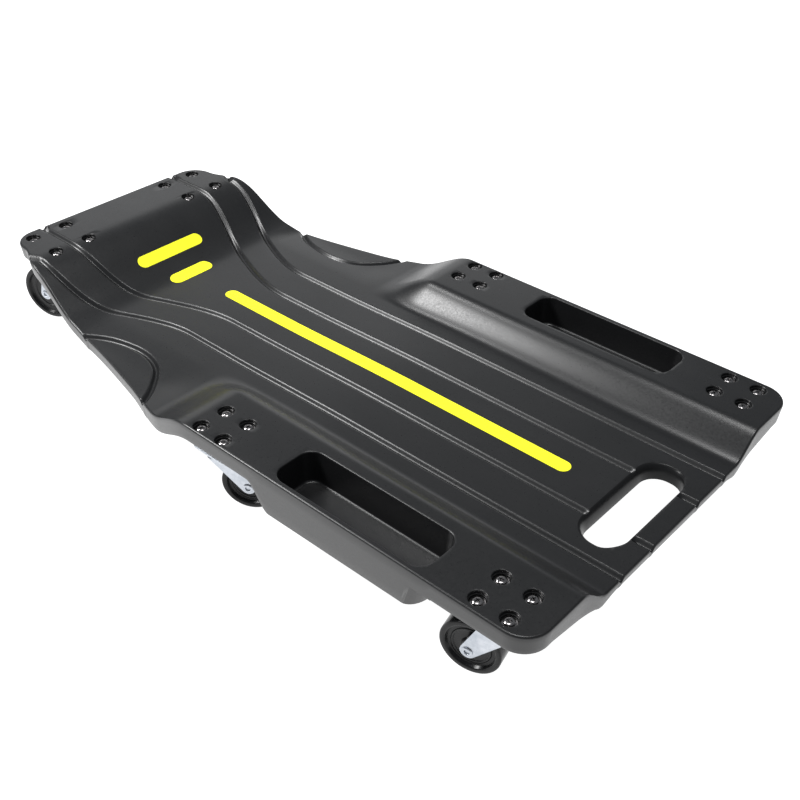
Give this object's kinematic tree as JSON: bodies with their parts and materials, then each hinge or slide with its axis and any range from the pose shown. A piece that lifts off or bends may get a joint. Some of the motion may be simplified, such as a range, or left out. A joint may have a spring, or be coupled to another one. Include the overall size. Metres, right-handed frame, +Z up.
{
  "type": "mechanics creeper",
  "caption": "Low moulded mechanics creeper with a raised head rest, raised shoulders, side tool trays and a hand slot, rolling on swivel casters.",
  "frame": {"origin": "on the floor, below the middle of the creeper with its casters trailing as they do at rest; the bed's own middle is 11 mm towards the foot end", "axes": "+X towards the foot end with the hand slot, +Y towards the left of a person lying on the bed, +Z up"},
  "size_m": [0.9365, 0.484, 0.1203],
  "materials": {
    "black_plastic": "semi-matt black blow-moulded polyethylene with a fine moulded grain",
    "yellow_graphic": "fluorescent yellow printed graphic with a thin dark edge",
    "zinc_steel": "bright zinc-plated pressed steel",
    "wheel_plastic": "glossy black hard plastic"
  },
  "bodies": {
    "bed": {"bed": "black_plastic", "centre_stripe": "yellow_graphic", "long_bar": "yellow_graphic", "short_bar": "yellow_graphic", "screw_head_right_1": "zinc_steel", "screw_head_right_2": "zinc_steel", "screw_head_right_3": "zinc_steel", "screw_head_right_4": "zinc_steel", "top_plate_head_right": "zinc_steel", "king_pin_head_right": "zinc_steel", "screw_head_left_1": "zinc_steel", "screw_head_left_2": "zinc_steel", "screw_head_left_3": "zinc_steel", "screw_head_left_4": "zinc_steel", "top_plate_head_left": "zinc_steel", "king_pin_head_left": "zinc_steel", "screw_middle_right_1": "zinc_steel", "screw_middle_right_2": "zinc_steel", "screw_middle_right_3": "zinc_steel", "screw_middle_right_4": "zinc_steel", "top_plate_middle_right": "zinc_steel", "king_pin_middle_right": "zinc_steel", "screw_middle_left_1": "zinc_steel", "screw_middle_left_2": "zinc_steel", "screw_middle_left_3": "zinc_steel", "screw_middle_left_4": "zinc_steel", "top_plate_middle_left": "zinc_steel", "king_pin_middle_left": "zinc_steel", "screw_foot_right_1": "zinc_steel", "screw_foot_right_2": "zinc_steel", "screw_foot_right_3": "zinc_steel", "screw_foot_right_4": "zinc_steel", "top_plate_foot_right": "zinc_steel", "king_pin_foot_right": "zinc_steel", "screw_foot_left_1": "zinc_steel", "screw_foot_left_2": "zinc_steel", "screw_foot_left_3": "zinc_steel", "screw_foot_left_4": "zinc_steel", "top_plate_foot_left": "zinc_steel", "king_pin_foot_left": "zinc_steel"},
    "swivel_head_right": {"fork_head_right": "zinc_steel", "axle_head_right": "zinc_steel"},
    "roller_head_right": {"wheel_head_right": "wheel_plastic"},
    "swivel_head_left": {"fork_head_left": "zinc_steel", "axle_head_left": "zinc_steel"},
    "roller_head_left": {"wheel_head_left": "wheel_plastic"},
    "swivel_middle_right": {"fork_middle_right": "zinc_steel", "axle_middle_right": "zinc_steel"},
    "roller_middle_right": {"wheel_middle_right": "wheel_plastic"},
    "swivel_middle_left": {"fork_middle_left": "zinc_steel", "axle_middle_left": "zinc_steel"},
    "roller_middle_left": {"wheel_middle_left": "wheel_plastic"},
    "swivel_foot_right": {"fork_foot_right": "zinc_steel", "axle_foot_right": "zinc_steel"},
    "roller_foot_right": {"wheel_foot_right": "wheel_plastic"},
    "swivel_foot_left": {"fork_foot_left": "zinc_steel", "axle_foot_left": "zinc_steel"},
    "roller_foot_left": {"wheel_foot_left": "wheel_plastic"}
  },
  "joints": [
    {"name": "swivel_head_right", "type": "hinge", "parent": "bed", "child": "swivel_head_right", "pos_m": [-0.4012, -0.1087, 0.06], "axis": [0, 0, 1], "continuous": true},
    {"name": "roll_head_right", "type": "hinge", "parent": "swivel_head_right", "child": "roller_head_right", "pos_m": [-0.42688, -0.11704, 0.0381], "axis": [0.309, -0.9511, 0], "continuous": true},
    {"name": "swivel_head_left", "type": "hinge", "parent": "bed", "child": "swivel_head_left", "pos_m": [-0.4012, 0.1087, 0.06], "axis": [0, 0, 1], "continuous": true},
    {"name": "roll_head_left", "type": "hinge", "parent": "swivel_head_left", "child": "roller_head_left", "pos_m": [-0.42761, 0.11431, 0.0381], "axis": [-0.2079, -0.9781, 0], "continuous": true},
    {"name": "swivel_middle_right", "type": "hinge", "parent": "bed", "child": "swivel_middle_right", "pos_m": [0.0467, -0.2133, 0.06], "axis": [0, 0, 1], "continuous": true},
    {"name": "roll_middle_right", "type": "hinge", "parent": "swivel_middle_right", "child": "roller_middle_right", "pos_m": [0.06922, -0.2003, 0.03175], "axis": [-0.5, 0.866, 0], "continuous": true},
    {"name": "swivel_middle_left", "type": "hinge", "parent": "bed", "child": "swivel_middle_left", "pos_m": [0.0467, 0.2133, 0.06], "axis": [0, 0, 1], "continuous": true},
    {"name": "roll_middle_left", "type": "hinge", "parent": "swivel_middle_left", "child": "roller_middle_left", "pos_m": [0.07045, 0.20272, 0.03175], "axis": [0.4067, 0.9135, 0], "continuous": true},
    {"name": "swivel_foot_right", "type": "hinge", "parent": "bed", "child": "swivel_foot_right", "pos_m": [0.4164, -0.2093, 0.06], "axis": [0, 0, 1], "continuous": true},
    {"name": "roll_foot_right", "type": "hinge", "parent": "swivel_foot_right", "child": "roller_foot_right", "pos_m": [0.39107, -0.21515, 0.03175], "axis": [0.225, -0.9744, 0], "continuous": true},
    {"name": "swivel_foot_left", "type": "hinge", "parent": "bed", "child": "swivel_foot_left", "pos_m": [0.4164, 0.2093, 0.06], "axis": [0, 0, 1], "continuous": true},
    {"name": "roll_foot_left", "type": "hinge", "parent": "swivel_foot_left", "child": "roller_foot_left", "pos_m": [0.39065, 0.21292, 0.03175], "axis": [-0.1392, -0.9903, 0], "continuous": true}
  ]
}
